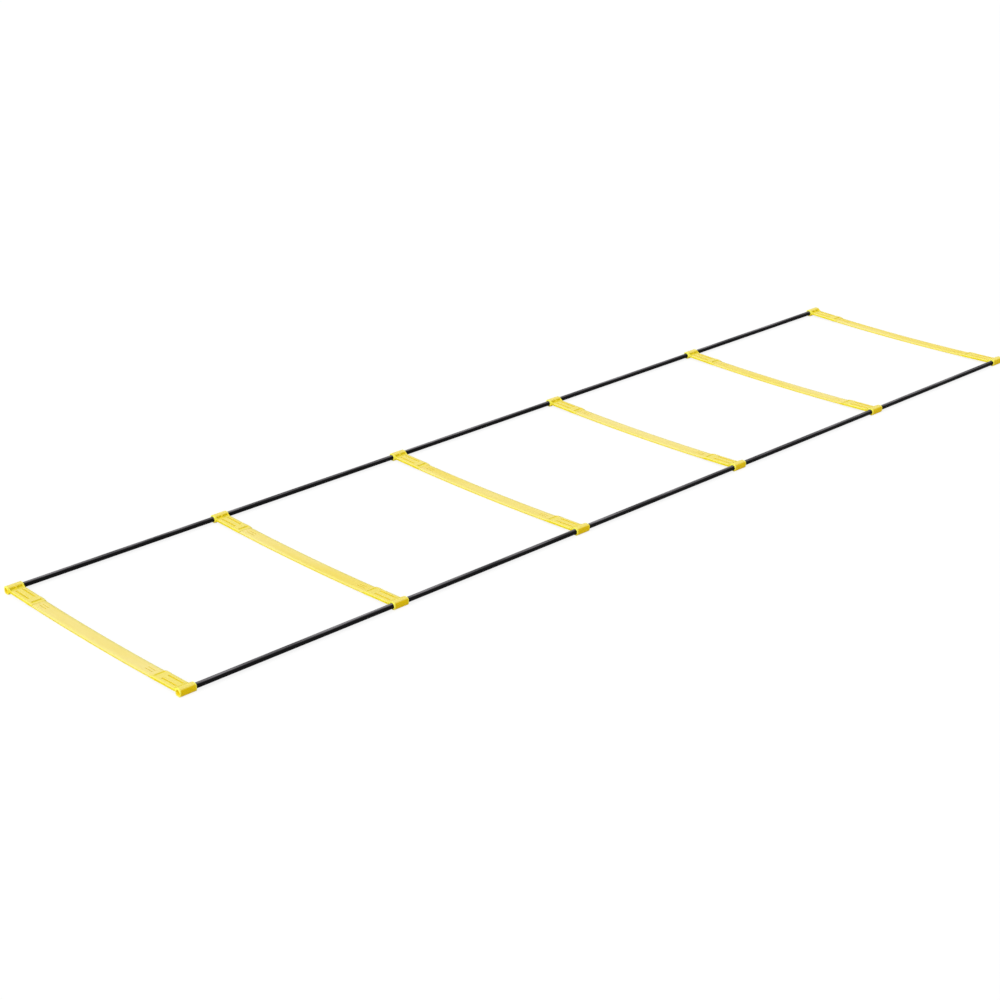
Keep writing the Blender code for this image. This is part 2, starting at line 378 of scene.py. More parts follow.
def smooth_share(value: float, low: float, high: float) -> float:
    """How far a value has come from low, where it gives 0, to high, where it gives 1, with gentle ends."""
    share = min(max((value - low) / (high - low), 0.0), 1.0)
    return share * share * (3 - 2 * share)


def direction(azimuth: float, elevation: float) -> Vector:
    """The direction at an azimuth, where 0 is -Y and 90 is +X, and at an elevation, both in degrees."""
    turn, rise = math.radians(azimuth), math.radians(elevation)
    return Vector((math.sin(turn) * math.cos(rise), -math.cos(turn) * math.cos(rise), math.sin(rise)))


def socket_type(value: Any) -> str:
    """The type of the node socket that carries a plain number, a vector or a colour with its alpha."""
    parts = len(value) if isinstance(value, tuple) else 1
    return {1: "NodeSocketFloat", 3: "NodeSocketVector", 4: "NodeSocketColor"}[parts]


class Wiring:
    """A node tree with short ways to add its nodes and to join them."""

    def __init__(self, tree: NodeTree) -> None:
        """Keep the tree to work on."""
        self.tree = tree

    def feed(self, node: Node, values: dict[Any, Any]) -> None:
        """Join sockets to a node's inputs, or write plain values on them.

        Args:
            node: The node.
            values: A socket or a plain value for each input, by the input's name or place.
        """
        for key, value in values.items():
            if isinstance(value, NodeSocket):
                self.tree.links.new(value, node.inputs[key])
            else:
                node.inputs[key].default_value = value

    def add(self, kind: str, values: dict[Any, Any] | None = None, **settings: Any) -> Node:
        """Add a node.

        Args:
            kind: The node's type name.
            values: What to feed to its inputs.
            settings: Its own properties.

        Returns:
            The new node.
        """
        node = self.tree.nodes.new(kind)
        for key, value in settings.items():
            setattr(node, key, value)
        self.feed(node, values or {})
        return node

    def maths(self, operation: str, *values: Any, clamp: bool = False) -> NodeSocket:
        """The result of one sum on sockets or numbers, which a clamp keeps between 0 and 1."""
        inputs = dict(enumerate(values))
        return self.add("ShaderNodeMath", inputs, operation=operation, use_clamp=clamp).outputs[0]

    def ramp(self, value: Any, low: Any, high: Any, out_low: Any = 0.0, out_high: Any = 1.0) -> NodeSocket:
        """A value brought smoothly from the range of low to high to that of out_low to out_high."""
        inputs = dict(enumerate((value, low, high, out_low, out_high)))
        return self.add("ShaderNodeMapRange", inputs, interpolation_type="SMOOTHSTEP").outputs[0]

    def blend(self, share: Any, first: Any, second: Any) -> NodeSocket:
        """Two colours mixed, by the share of the second one, which is from 0 to 1."""
        return self.add("ShaderNodeMix", {0: share, 6: first, 7: second}, data_type="RGBA").outputs[2]

    def noise(self, place: Any, scale: Any, detail: float = 2.0, roughness: float = 0.5) -> NodeSocket:
        """Soft noise from 0 to 1, with its blotches in a metre, its finer layers and how strong they are."""
        inputs = {"Vector": place, "Scale": scale, "Detail": detail, "Roughness": roughness}
        return self.add("ShaderNodeTexNoise", inputs).outputs[0]

    def place(self) -> NodeSocket:
        """The place on the object, in metres."""
        return self.add("ShaderNodeTexCoord").outputs["Object"]

    def stretched_place(self, stretch: Any) -> NodeSocket:
        """The place on the object with each axis multiplied, so that noise on it runs one way."""
        inputs = {0: self.place(), 1: stretch}
        return self.add("ShaderNodeVectorMath", inputs, operation="MULTIPLY").outputs[0]

    def looks_up(self, low: Any, high: Any) -> NodeSocket:
        """How far the surface looks up, from 0 where its normal rises by low to 1 where it rises by high."""
        normal = self.add("ShaderNodeNewGeometry").outputs["Normal"]
        return self.ramp(self.add("ShaderNodeSeparateXYZ", {0: normal}).outputs[2], low, high)

    def mark(self, attribute: str) -> NodeSocket:
        """The value that the mesh carries under an attribute's name."""
        return self.add("ShaderNodeAttribute", attribute_name=attribute).outputs["Fac"]

    def seen(self) -> NodeSocket:
        """Mask what the camera sees, also in reflections and through glass.

        Returns:
            The mask, which is 1 for what is seen.
        """
        path = self.add("ShaderNodeLightPath").outputs
        seen = self.maths("ADD", path["Is Camera Ray"], path["Is Glossy Ray"], clamp=True)
        return self.maths("ADD", seen, path["Is Transmission Ray"], clamp=True)


class EffectGroup(Wiring):
    """A node group with named inputs and outputs, built once and used by every finish."""

    name = "effect"
    inputs: dict[str, Any] = {}
    outputs: dict[str, Any] = {}

    def __init__(self) -> None:
        """Make the group's tree and its sockets, then wire it."""
        super().__init__(bpy.data.node_groups.new(self.name, "ShaderNodeTree"))
        for way, sockets in (("INPUT", self.inputs), ("OUTPUT", self.outputs)):
            for name, value in sockets.items():
                kind = socket_type(value)
                self.tree.interface.new_socket(name, in_out=way, socket_type=kind).default_value = value
        self.given = self.add("NodeGroupInput").outputs
        self.result = self.add("NodeGroupOutput")
        self.wire()

    def wire(self) -> None:
        """Add the group's own nodes between its inputs and its outputs."""
        raise NotImplementedError

    def use(self, sheet: Wiring, finish: "Finish", **values: Any) -> Any:
        """Place the group in a finish's material.

        Args:
            sheet: The material's wiring.
            finish: The finish, whose fields go to the inputs of the same names.
            values: Sockets that go to inputs instead of the finish's fields.

        Returns:
            The placed group's outputs.
        """
        taken = {}
        for name, usual in self.inputs.items():
            key = name.lower().replace(" ", "_")
            taken[name] = values.get(key, getattr(finish, key, usual))
        return sheet.add("ShaderNodeGroup", taken, node_tree=self.tree).outputs


class DriftWithPaintedSheenAndShade(EffectGroup):
    """Colour that drifts from place to place, with painted sheen that pales the faces that look up, and
    painted shade that deepens it in hollows.
    """

    name = "pigment drift with painted sheen and shade"
    inputs = {
        "Colour": WHITE,
        "Painted Sheen Colour": WHITE,
        "Painted Shade Colour": WHITE,
        "Patches": 40.0,
        "Drift": 0.2,
        "Fade": 0.3,
        "Fade Start": 0.15,
        "Stretch": (1.0, 1.0, 1.0),
        "Streaks": 0.0,
    }
    outputs = {"Colour": WHITE}
    patch_edges = (0.32, 0.70)
    fade_end = 0.98

    def wire(self) -> None:
        """Mix in the painted sheen colour by noise and by how far a face looks up, and the painted shade
        colour by the painted shade mark.
        """
        given = self.given
        noise = self.noise(self.stretched_place(given["Stretch"]), given["Patches"], detail=3.0)
        broad = self.ramp(noise, *self.patch_edges)
        kept = self.maths("SUBTRACT", 1.0, self.maths("MULTIPLY", broad, given["Drift"]))
        broken = self.maths("MULTIPLY_ADD", self.maths("SUBTRACT", broad, 1.0), given["Streaks"], 1.0)
        # Painted sheen: faces that look up are made paler, and on the rods it is a painted highlight broken
        # into streaks.
        lit = self.maths("MULTIPLY", self.looks_up(given["Fade Start"], self.fade_end), broken)
        share = self.maths("MULTIPLY", kept, self.maths("MULTIPLY", lit, given["Fade"]), clamp=True)
        tone = self.blend(share, given["Colour"], given["Painted Sheen Colour"])
        # Painted shade: a deeper colour where the mesh marks a hollow or a side wall.
        colour = self.blend(self.mark(PAINTED_SHADE_ATTRIBUTE), tone, given["Painted Shade Colour"])
        self.feed(self.result, {"Colour": colour})


class EdgeWearAndHighlight(EffectGroup):
    """Outer edges with a pale colour that is painted highlight and partly wear, rubbed smooth by handling, in
    broken stretches.
    """

    name = "edge wear and highlight"
    inputs = {"Colour": WHITE, "Wear And Highlight Colour": WHITE, "Rub": 0.5}
    outputs = {"Colour": WHITE, "Mask": 0.0}
    gaps_in_metre = 90.0
    gap_edges = (0.62, 0.36)
    gap_depth = 0.25

    def wire(self) -> None:
        """Break up the mesh's own edge mark with noise and mix in the pale colour of painted highlight and
        wear.
        """
        gaps = self.ramp(self.noise(self.place(), self.gaps_in_metre), *self.gap_edges, 0.0, self.gap_depth)
        marked_wear_and_highlight = self.maths("SUBTRACT", self.mark(WEAR_AND_HIGHLIGHT_ATTRIBUTE), gaps, clamp=True)
        mask = self.maths("MULTIPLY", marked_wear_and_highlight, self.given["Rub"], clamp=True)
        # Painted highlight, partly wear: the pale colour on the marked edges.
        colour = self.blend(mask, self.given["Colour"], self.given["Wear And Highlight Colour"])
        self.feed(self.result, {"Colour": colour, "Mask": mask})


class MouldedGrain(EffectGroup):
    """The fine spark-eroded grain of a mould, over the slow waves of a surface that has shrunk."""

    name = "moulded grain"
    inputs = {"Grains": 2600.0, "Waves": 60.0, "Wave Share": 0.3}
    outputs = {"Height": 0.0}

    def wire(self) -> None:
        """Add the waves to the grain."""
        given = self.given
        grain = self.noise(self.place(), given["Grains"], detail=2.0, roughness=0.6)
        waves = self.noise(self.place(), given["Waves"], detail=1.0)
        self.feed(self.result, {"Height": self.maths("MULTIPLY_ADD", waves, given["Wave Share"], grain)})


class HandlingScuffs(EffectGroup):
    """Gloss that varies in soft patches, crossed by fine scuffs that run mostly one way."""

    name = "handling scuffs"
    inputs = {"Roughness": 0.4, "Gloss Spread": 0.1, "Stretch": (1.0, 1.0, 1.0), "Scuffs": 0.1}
    outputs = {"Roughness": 0.0}
    patches_in_metre = 55.0
    patch_edges = (0.3, 0.7)
    scuffs_in_metre = 420.0
    scuff_edges = (0.60, 0.74)

    def wire(self) -> None:
        """Add the patches and the scuffs to the plain roughness."""
        given = self.given
        noise = self.noise(self.place(), self.patches_in_metre, detail=3.0)
        uneven = self.ramp(noise, *self.patch_edges, -0.5, 0.5)
        stretched = self.stretched_place(given["Stretch"])
        lines = self.noise(stretched, self.scuffs_in_metre, detail=3.0, roughness=0.7)
        scuffs = self.maths("MULTIPLY", self.ramp(lines, *self.scuff_edges), given["Scuffs"], clamp=True)
        patched = self.maths("MULTIPLY_ADD", uneven, given["Gloss Spread"], given["Roughness"])
        self.feed(self.result, {"Roughness": self.maths("ADD", patched, scuffs, clamp=True)})


class SettledDust(EffectGroup):
    """A thin film of pale dust on the faces that look up."""

    name = "settled dust"
    inputs = {"Colour": WHITE, "Dust Colour": (0.6, 0.58, 0.54, 1.0), "Dust": 0.1}
    outputs = {"Colour": WHITE, "Mask": 0.0}
    specks_in_metre = 320.0
    speck_edges = (0.40, 0.72)
    lying_range = (0.35, 1.0)

    def wire(self) -> None:
        """Mix in the dust where the surface looks up, more in some places than in others."""
        specks = self.noise(self.place(), self.specks_in_metre, detail=5.0, roughness=0.7)
        film = self.ramp(specks, *self.speck_edges)
        lying = self.maths("MULTIPLY", self.looks_up(*self.lying_range), film)
        mask = self.maths("MULTIPLY", lying, self.given["Dust"], clamp=True)
        colour = self.blend(mask, self.given["Colour"], self.given["Dust Colour"])
        self.feed(self.result, {"Colour": colour, "Mask": mask})


class PaintedGlow(EffectGroup):
    """A painted glow: coloured light given off in the deepest hollows, where no lamp is."""

    name = "painted glow"
    inputs = {"Colour": WHITE}
    outputs = {"Colour": WHITE}
    depth_range = (0.85, 1.0)

    def wire(self) -> None:
        """Keep the colour only where the mesh marks the deepest painted shade."""
        deep = self.ramp(self.mark(PAINTED_SHADE_ATTRIBUTE), *self.depth_range)
        self.feed(self.result, {"Colour": self.blend(deep, BLACK, self.given["Colour"])})


class Effects:
    """The effects that the finishes share."""

    def __init__(self) -> None:
        """Build each effect once."""
        # The shared effects include painted sheen and shade, painted highlight and wear on edges, and a
        # painted glow.
        self.drift, self.rub, self.grain = DriftWithPaintedSheenAndShade(), EdgeWearAndHighlight(), MouldedGrain()
        self.scuffs, self.dust, self.painted_glow = HandlingScuffs(), SettledDust(), PaintedGlow()


@dataclass(frozen=True)
class Finish:
    """A plastic of the ladder, with the marks that moulding and use leave on it, and with painted sheen,
    painted shade, painted highlight on its edges and a painted glow.
    """

    slot: str
    colour: Colour
    # Colours of the painted sheen on faces that look up, of the painted shade in hollows, and of the edges'
    # painted highlight and wear.
    painted_sheen_colour: Colour
    painted_shade_colour: Colour
    wear_and_highlight_colour: Colour
    patches: float
    drift: float
    # The share of painted sheen on faces that look up.
    fade: float
    # The share of the edges' painted highlight and wear.
    rub: float
    dust: float
    roughness: float
    gloss_spread: float
    scuffs: float
    stretch: tuple[float, float, float]
    grains: float
    wave_share: float
    grain_height: float
    shine: float
    fade_start: float = 0.15
    streaks: float = 0.0
    # The strength of the painted glow in the deepest hollows.
    glow: float = 0.0
    dust_dulling: float = 0.5
    rub_polish: float = 0.12

    def material(self, effects: Effects) -> Material:
        """Build the material.

        Args:
            effects: The shared effects.

        Returns:
            The new material.
        """
        made = bpy.data.materials.new(f"{self.slot} plastic")
        made.use_nodes = True
        made.diffuse_color = self.colour
        sheet = Wiring(made.node_tree)
        # Painted sheen on the faces that look up, and painted shade in hollows.
        tone = effects.drift.use(sheet, self)["Colour"]
        # Edges painted pale as a highlight, and partly as wear.
        rubbed = effects.rub.use(sheet, self, colour=tone)
        dusty = effects.dust.use(sheet, self, colour=rubbed["Colour"])
        gloss = effects.scuffs.use(sheet, self)["Roughness"]
        dulled = sheet.maths("MULTIPLY_ADD", dusty["Mask"], self.dust_dulling, gloss)
        height = effects.grain.use(sheet, self)["Height"]
        bump = {"Strength": 1.0, "Distance": self.grain_height, "Height": height}
        surface = {
            "Base Color": dusty["Colour"],
            "Metallic": 0.0,
            "Roughness": sheet.maths("MULTIPLY_ADD", rubbed["Mask"], -self.rub_polish, dulled),
            "Specular IOR Level": self.shine,
            # A painted glow: the deepest hollows give off light of their own.
            "Emission Color": effects.painted_glow.use(sheet, self)["Colour"],
            "Emission Strength": self.glow,
            "Normal": sheet.add("ShaderNodeBump", bump).outputs[0],
        }
        sheet.feed(made.node_tree.nodes["Principled BSDF"], surface)
        return made


# The clip and strap finishes paint sheen on faces that look up, shade in hollows, highlights on edges and a
# glow deep in hollows.
CLIP_PLASTIC = Finish(
    slot="clip",
    colour=(0.84, 0.59, 0.002, 1.0),
    painted_sheen_colour=(0.935, 0.795, 0.18, 1.0),
    painted_shade_colour=(0.78, 0.645, 0.012, 1.0),
    wear_and_highlight_colour=(0.99, 0.97, 0.13, 1.0),
    patches=38.0,
    drift=0.08,
    fade=1.0,
    fade_start=0.45,
    rub=1.0,
    dust=0.02,
    roughness=0.44,
    gloss_spread=0.06,
    scuffs=0.05,
    stretch=(1.0, 0.22, 1.0),
    grains=2600.0,
    wave_share=0.5,
    grain_height=0.000007,
    shine=0.06,
    glow=0.22,
)
STRAP_PLASTIC = Finish(
    slot="strap",
    colour=(0.90, 0.70, 0.045, 1.0),
    painted_sheen_colour=(0.955, 0.81, 0.29, 1.0),
    painted_shade_colour=(0.73, 0.61, 0.02, 1.0),
    wear_and_highlight_colour=(0.91, 0.87, 0.23, 1.0),
    patches=30.0,
    drift=0.62,
    fade=0.94,
    rub=0.60,
    dust=0.02,
    roughness=0.54,
    gloss_spread=0.08,
    scuffs=0.08,
    stretch=(1.0, 0.12, 1.0),
    grains=2000.0,
    wave_share=0.8,
    grain_height=0.000008,
    shine=0.12,
    glow=0.10,
)
# On the rod, the pale streaky top is a painted highlight, and its edge colour is wear at the ends pushed into
# the sockets.
ROD_PLASTIC = Finish(
    slot="rod",
    colour=(0.0065, 0.0062, 0.007, 1.0),
    painted_sheen_colour=(0.31, 0.295, 0.315, 1.0),
    painted_shade_colour=(0.0035, 0.0035, 0.004, 1.0),
    wear_and_highlight_colour=(0.060, 0.060, 0.060, 1.0),
    patches=360.0,
    drift=0.02,
    fade=0.95,
    fade_start=0.62,
    streaks=0.85,
    rub=0.4,
    dust=0.03,
    roughness=0.50,
    gloss_spread=0.10,
    scuffs=0.10,
    stretch=(0.03, 1.0, 1.0),
    grains=1800.0,
    wave_share=0.3,
    grain_height=0.000006,
    shine=0.03,
)


@dataclass(frozen=True)
class PinMark:
    """The shallow round mark that an ejector pin leaves on an underside."""

    radius: float
    depth: float = 0.00018
    sides: int = 24

    def plug(self, along: float) -> BMesh:
        """Shape the plug that sinks the mark.

        Args:
            along: The mark's place on Y.

        Returns:
            The plug as a new bmesh.
        """
        shape = bmesh.new()
        ends = {"cap_ends": True, "radius1": self.radius, "radius2": self.radius}
        bmesh.ops.create_cone(shape, segments=self.sides, depth=2 * self.depth, **ends)
        bmesh.ops.translate(shape, vec=(0.0, along, 0.0), verts=shape.verts)
        return shape


@dataclass(frozen=True)
class EndClip:
    """The moulded clip at each end of a rung: a socket block for the rods, and a tongue that grips the strap.

    Its own frame has the rods' axis on X, and the tongue runs along +Y and droops a little. Shares, slices,
    fades, skins and margins are parts of the size they belong to, and the shares of painted highlight and
    wear and of painted shade go from 0 to 1.
    """

    layout: Layout = field(default_factory=Layout)
    block_length: float = 0.031
    block_width: float = 0.0135
    block_height: float = 0.014
    block_edge_radius: float = 0.0045
    block_edge_steps: int = 8
    block_end_radius: float = 0.0010
    block_end_steps: int = 3
    socket_radius: float = 0.0049
    socket_stop_wall: float = 0.0024
    socket_flare: float = 0.0004
    socket_sides: int = 48
    tongue_reach: float = 0.0775
    tongue_width: float = 0.0284
    tongue_thickness: float = 0.0044
    tongue_drop: float = 0.0018
    bevel_width: float = 0.0028
    bevel_depth: float = 0.0010
    ramp_start: float = 0.0560
    collar_start: float = 0.0640
    collar_end: float = 0.0693
    collar_width: float = 0.0291
    collar_thickness: float = 0.0046
    lip_width: float = 0.0283
    lip_thickness: float = 0.0033
    swelling_steps: int = 6
    pocket_start: float = 0.0155
    pocket_floor: float = 0.0008
    pocket_side_wall: float = 0.0022
    pocket_height: float = 0.0019
    slot_start: float = 0.0165
    slot_length: float = 0.0390
    slot_width: float = 0.0030
    slot_offset: float = 0.0060
    cross_slot_start: float = 0.0686
    cross_slot_length: float = 0.0044
    cross_slot_width: float = 0.0200
    gusset_reach: float = 0.0165
    gusset_edge_thickness: float = 0.0015
    gusset_middle_thickness: float = 0.0022
    gusset_slices: tuple[float, ...] = (0.5, 0.65, 0.8, 0.95, 1.1)
    pin_mark: PinMark = PinMark(radius=0.0019)
    pin_mark_shares: tuple[float, ...] = (0.30, 0.82)
    edge_softening: float = 0.00022
    rim_width: float = 0.0024
    rim_slices: tuple[float, ...] = (1.0, 0.8)
    rim_fade: float = 0.3
    edge_line: float = 0.0012
    socket_skin: float = 1.02
    mouth_margin: float = 1.5
    corner_shares: tuple[float, float] = (0.35, 0.36)
    corner_fade: tuple[float, ...] = (0.6, 1.05)
    # Shares of painted highlight and wear on rims, sides and edges, and of painted shade in slots and on the
    # sides.
    rim_wear_and_highlight: float = 0.6
    side_wear_and_highlight: float = 0.55
    edge_wear_and_highlight: float = 0.25
    slot_shade: float = 0.88
    side_shade: float = 0.84

    @property
    def tongue_root(self) -> float:
        """Where the tongue starts, halfway into the block's inner wall."""
        inner_face = self.block_width / 2
        return inner_face - (inner_face - self.socket_radius) / 2

    @property
    def past_block(self) -> float:
        """A place on Y where the tongue is just clear of the block."""
        return self.block_width * 0.6

    @property
    def pocket_width(self) -> float:
        """The width of the pocket that takes the strap."""
        return self.tongue_width - 2 * self.pocket_side_wall

    @property
    def droop(self) -> float:
        """The slope at which the sagging rung pulls the tongue down."""
        return 2 * self.layout.rung_sag / (self.tongue_reach + self.layout.rail_spacing / 2)

    @property
    def tongue_frame(self) -> Matrix:
        """The drooping axes: Y along the tongue from the rods' axis, Z = 0 on its underside."""
        lean = Matrix.Rotation(-math.atan(self.droop), 4, "X")
        return lean @ Matrix.Translation((0.0, 0.0, -self.tongue_drop))

    def block(self) -> BMesh:
        """Shape the block along the rail, rounded along its length and more finely round its ends.

        Returns:
            The block as a new bmesh.
        """
        half = Vector((self.block_length, self.block_width, self.block_height)) / 2
        shape = box_shape(-half, half)
        runs = [(edge, (edge.verts[1].co - edge.verts[0].co).normalized()) for edge in shape.edges]
        long_edges = [edge for edge, run in runs if abs(run.x) > PARALLEL]
        round_edges(shape, long_edges, self.block_edge_radius, self.block_edge_steps)
        ends = [face for face in shape.faces if abs(face.normal.x) > PARALLEL]
        rims = [edge for edge in shape.edges if any(face in ends for face in edge.link_faces)]
        round_edges(shape, rims, self.block_end_radius, self.block_end_steps)
        return shape

    def swelling(self, distance: float) -> tuple[float, float]:
        """How the tongue swells to its collar, and thins again towards its lip.

        Args:
            distance: How far along the tongue, from the rods' axis.

        Returns:
            How much wider and how much thicker it is than at its root.
        """
        collar = Vector((self.collar_width, self.collar_thickness))
        root = Vector((self.tongue_width, self.tongue_thickness))
        lip = Vector((self.lip_width, self.lip_thickness))
        rise = smooth_share(distance, self.ramp_start, self.collar_start)
        fall = smooth_share(distance, self.collar_end, 2 * self.tongue_reach - self.collar_end) * 2
        return tuple(root.lerp(collar, rise).lerp(lip, min(fall, 1.0)) - root)

    def tongue(self) -> BMesh:
        """Shape the flat tongue, with wide bevels and a collar round the strap's end.

        Returns:
            The tongue as a new bmesh.
        """
        bevel, span = (self.bevel_width, self.bevel_depth), (self.tongue_root, self.tongue_reach)
        shape = bevelled_strip(self.tongue_width, self.tongue_thickness, bevel, span)
        places = []
        for start, end in ((self.ramp_start, self.collar_start), (self.collar_end, self.tongue_reach)):
            steps = self.swelling_steps
            places += [start + (end - start) * step / steps for step in range(steps)]
        slice_across(shape, Axis.Y, [*places, self.collar_start])
        for vert in shape.verts:
            wider, thicker = self.swelling(vert.co.y)
            vert.co.x += math.copysign(wider / 2, vert.co.x)
            vert.co.z += thicker if vert.co.z > self.tongue_thickness / 2 else 0.0
        bmesh.ops.transform(shape, matrix=self.tongue_frame, verts=shape.verts)
        return shape

    def gusset(self, offset: float, thickness: float) -> BMesh:
        """Shape a sloping web between the shoulder of the block and the tongue.

        Args:
            offset: Its place along the rail.
            thickness: How thick it is.

        Returns:
            The web as a new bmesh.
        """
        shoulder = self.block_height / 2 - self.block_edge_radius * (1 - math.sqrt(0.5))
        feet = [Vector((0.0, y, self.tongue_thickness / 2)) for y in (self.tongue_root, self.gusset_reach)]
        root, toe = (self.tongue_frame @ foot for foot in feet)
        corners = [(root.y, root.z), (toe.y, toe.z), (root.y, shoulder)]
        return swept_shape([(offset - thickness / 2, y, z) for y, z in corners], (thickness, 0.0, 0.0))

    def socket(self, end: int) -> BMesh:
        """Shape the hollow of one blind socket, flared at its mouth.

        Args:
            end: 1 for the socket that opens towards +X, and -1 for the other.

        Returns:
            The hollow as a new bmesh.
        """
        stop, mouth, bore = self.socket_stop_wall / 2, self.block_length / 2, self.socket_radius
        beyond, wide = mouth + CUT_OVERRUN, bore + self.socket_flare
        straight = [(stop, 0.0), (stop, bore), (mouth - self.socket_flare, bore)]
        profile = [*straight, (mouth, wide), (beyond, wide), (beyond, 0.0)]
        return spun_shape([(end * x, radius) for x, radius in profile], self.socket_sides)

    def slots(self) -> list[tuple[Vector, Vector]]:
        """Plan the slots in the pocket's roof: one across and two long ones.

        Returns:
            The low and the high corner of each slot, as (x, y).
        """
        across = (0.0, self.cross_slot_start, self.cross_slot_width / 2, self.cross_slot_length)
        centres = (-self.slot_offset, self.slot_offset)
        along = [(centre, self.slot_start, self.slot_width / 2, self.slot_length) for centre in centres]
        return [(Vector((x - half, y)), Vector((x + half, y + run))) for x, y, half, run in (across, *along)]

    def tongue_cuts(self) -> list[BMesh]:
        """Shape the hollows of the tongue: the strap's pocket, the slots over it and the pin marks below.

        Returns:
            Each hollow as a new bmesh.
        """
        roof = self.pocket_floor + self.pocket_height
        end, top = self.tongue_reach + CUT_OVERRUN, self.collar_thickness + CUT_OVERRUN
        half = self.pocket_width / 2
        cuts = [box_shape((-half, self.pocket_start, self.pocket_floor), (half, end, roof))]
        for low, high in self.slots():
            cuts.append(box_shape((*low, roof - self.pocket_height / 2), (*high, top)))
        cuts += [self.pin_mark.plug(share * self.tongue_reach) for share in self.pin_mark_shares]
        for cut in cuts:
            bmesh.ops.transform(cut, matrix=self.tongue_frame, verts=cut.verts)
        return cuts

    def mesh(self, material: Material) -> Mesh:
        """Build the whole moulding.

        Args:
            material: Its finish.

        Returns:
            The clip's mesh in its own frame.
        """
        edge = self.tongue_width / 2 - self.bevel_width / 2
        webs = (
            self.gusset(-edge, self.gusset_edge_thickness),
            self.gusset(0.0, self.gusset_middle_thickness),
            self.gusset(edge, self.gusset_edge_thickness),
        )
        hollows = (self.socket(-1), self.socket(1), *self.tongue_cuts())
        shape = in_order(combined(self.block(), (self.tongue(), *webs), hollows))
        soften(shape, self.edge_softening)
        inner, outer = (self.block_length / 2 - self.rim_width * share for share in self.rim_slices)
        line = self.tongue_width / 2 - self.edge_line
        slice_across(shape, Axis.X, (-outer, -inner, -line, line, inner, outer))
        slice_across(shape, Axis.Y, [self.gusset_reach * share for share in self.gusset_slices])
        # Mark the painted highlight and wear, and the painted shade, on each vertex.
        mark_surface(shape, self.wear_and_highlight_share, self.painted_shade)
        return finished_mesh(shape, material)

    def on_tongue(self, place: Vector) -> tuple[Vector, float]:
        """A place of the clip in the tongue's frame, and how far in it lies from the tongue's long side."""
        there = self.tongue_frame.inverted() @ place
        return there, (self.tongue_width + self.swelling(there.y)[0]) / 2 - abs(there.x)

    def wear_and_highlight_share(self, place: Vector) -> float:
        """How much painted highlight and wear a place gets: the block's rims, most at their tops, and the
        tongue's long sides.

        Args:
            place: The place in the clip's frame.

        Returns:
            The share, from 0 to 1.
        """
        if place.y < self.past_block:
            on_rim = abs(place.x) > self.block_length / 2 - self.rim_width * NEARLY
            height = smooth_share(place.z, 0.0, self.block_height * self.rim_fade)
            return self.rim_wear_and_highlight + (1 - self.rim_wear_and_highlight) * height if on_rim else 0.0
        there, inward = self.on_tongue(place)
        if there.z < self.edge_softening / 4 or inward > self.bevel_width * NEARLY:
            return 0.0
        return self.side_wear_and_highlight if inward > self.edge_line / 2 else self.edge_wear_and_highlight

    def painted_shade(self, place: Vector) -> float:
        """How much painted shade a place gets: full in a socket, less in a slot, on a side or under the
        block.

        Args:
            place: The place in the clip's frame.

        Returns:
            The share, from 0 to 1.
        """
        if math.hypot(place.y, place.z) < self.socket_radius * self.socket_skin:
            return float(abs(place.x) < self.block_length / 2 - self.socket_flare * self.mouth_margin)
        there, inward = self.on_tongue(place)
        if place.y > self.past_block and inward < self.edge_line / 2:
            return self.side_shade if there.z > self.edge_softening / 4 else 0.0
        if there.y > self.slot_start:
            top = self.tongue_thickness + self.swelling(there.y)[1]
            inside = self.pocket_floor * NEARLY < there.z < top * NEARLY
            return self.slot_shade if inside and abs(place.x) < self.pocket_width / 2 else 0.0
        across, up = self.corner_shares
        on_block = place.y < self.block_width * across or place.z > self.block_height * up
        if on_block or there.z < self.tongue_thickness / 2:
            return 0.0
        out = smooth_share(place.y, *(self.gusset_reach * share for share in self.corner_fade))
        return self.side_shade - self.side_shade * out


